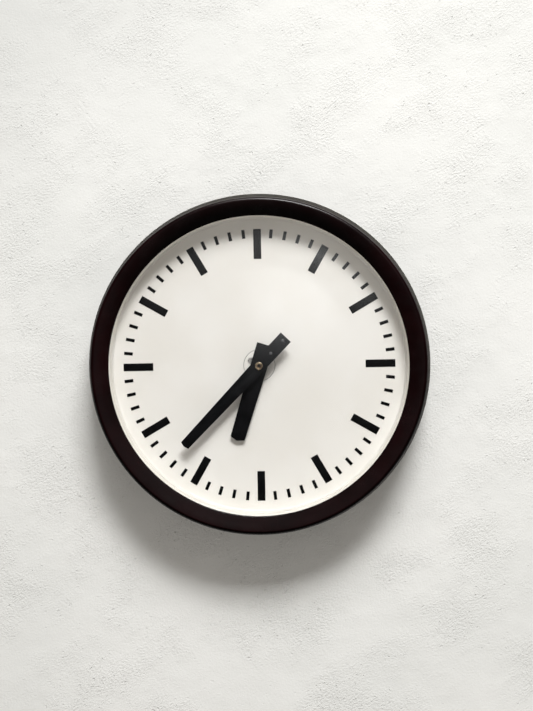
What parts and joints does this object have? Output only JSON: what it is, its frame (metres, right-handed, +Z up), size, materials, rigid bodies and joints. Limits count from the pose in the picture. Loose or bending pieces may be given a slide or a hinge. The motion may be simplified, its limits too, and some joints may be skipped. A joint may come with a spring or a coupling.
{
  "type": "wall clock",
  "caption": "Round wall-hung factory clock: dark bakelite case, hinged glazed bezel, white dial with bar markers, black baton hands and a stepping movement.",
  "frame": {"origin": "centre of the case's flat back, on the axis of the hands", "axes": "+Z up, +X to the right seen from the front, +Y into the wall; the dial faces -Y"},
  "size_m": [0.332, 0.0895, 0.332],
  "materials": {
    "bakelite": "polished dark burgundy bakelite, faintly worn",
    "clear_glass": "clear, shallow dome",
    "dial_white": "aged off-white satin enamel",
    "dial_print": "black dial print, satin",
    "hand_black": "black satin paint",
    "steel": "bright steel, slightly dulled",
    "brass": "satin brass",
    "soft_iron": "dark iron",
    "copper_wire": "lacquered copper wire",
    "bobbin_plastic": "brown moulded plastic",
    "black_rubber": "black rubber"
  },
  "bodies": {
    "case": {"rear_case": "bakelite", "hanger_plate": "steel", "hanger_rivets": "steel", "cable_grommet": "black_rubber", "dial_plate": "dial_white", "hour_bars": "dial_print", "minute_bars": "dial_print", "dial_feet": "steel", "dial_nuts": "steel", "dial_hub_ring": "steel", "centre_plate": "dial_white", "centre_plate_screws": "steel", "movement_back_plate": "brass", "movement_front_plate": "brass", "movement_pillars": "steel", "pillar_screws": "steel", "movement_screws": "steel", "motion_bridge": "brass", "bridge_pillars": "steel", "bridge_screws": "steel", "motion_stud": "steel", "stator_poles": "soft_iron", "stator_spacers": "steel", "stator_screws": "steel", "coil_core": "soft_iron", "coil_bobbin": "bobbin_plastic", "coil_winding": "copper_wire", "coil_leads": "bobbin_plastic", "terminal_block": "bakelite", "terminal_screws": "steel", "hinge_leaf_case": "steel", "hinge_pin": "steel", "case_fitting_screws": "steel", "catch_spring": "steel"},
    "bezel": {"bezel_ring": "bakelite", "glass": "clear_glass", "glass_gasket": "black_rubber", "rehaut_ring": "dial_white", "rehaut_screws": "steel", "hinge_leaf_bezel": "steel", "catch_tongue": "steel", "bezel_fitting_screws": "steel"},
    "minute": {"minute_arbor": "steel", "centre_wheel": "brass", "cannon_pinion": "brass", "minute_boss": "hand_black", "minute_hand": "hand_black", "counterweight": "steel", "counterweight_rivets": "steel", "hand_nut": "brass"},
    "hour": {"hour_wheel": "brass", "hour_boss": "hand_black", "hour_hand": "hand_black"},
    "motion_wheel": {"minute_wheel": "brass", "minute_pinion": "brass"},
    "step_arbor": {"intermediate_arbor": "steel", "intermediate_wheel": "brass"},
    "rotor": {"rotor_arbor": "steel", "rotor_magnet": "soft_iron"}
  },
  "joints": [
    {"name": "bezel_hinge", "type": "hinge", "parent": "case", "child": "bezel", "pos_m": [-0.158, -0.0485, 0], "axis": [0, 0, -1], "range_deg": [0, 100]},
    {"name": "minute_turn", "type": "hinge", "parent": "case", "child": "minute", "pos_m": [0, 0, 0], "axis": [0, 1, 0], "continuous": true},
    {"name": "hour_turn", "type": "hinge", "parent": "case", "child": "hour", "pos_m": [0, 0, 0], "axis": [0, 1, 0], "continuous": true},
    {"name": "motion_wheel_turn", "type": "hinge", "parent": "case", "child": "motion_wheel", "pos_m": [0.018, 0, 0], "axis": [0, 1, 0], "continuous": true},
    {"name": "step_arbor_turn", "type": "hinge", "parent": "case", "child": "step_arbor", "pos_m": [0, 0, -0.018], "axis": [0, 1, 0], "continuous": true},
    {"name": "rotor_turn", "type": "hinge", "parent": "case", "child": "rotor", "pos_m": [0, 0, -0.0351], "axis": [0, 1, 0], "continuous": true}
  ],
  "couplings": [
    {"joint": "hour_turn", "follows": "minute_turn", "ratio": 0.083333},
    {"joint": "motion_wheel_turn", "follows": "minute_turn", "ratio": -0.33333},
    {"joint": "step_arbor_turn", "follows": "minute_turn", "ratio": -4},
    {"joint": "rotor_turn", "follows": "minute_turn", "ratio": 15}
  ]
}
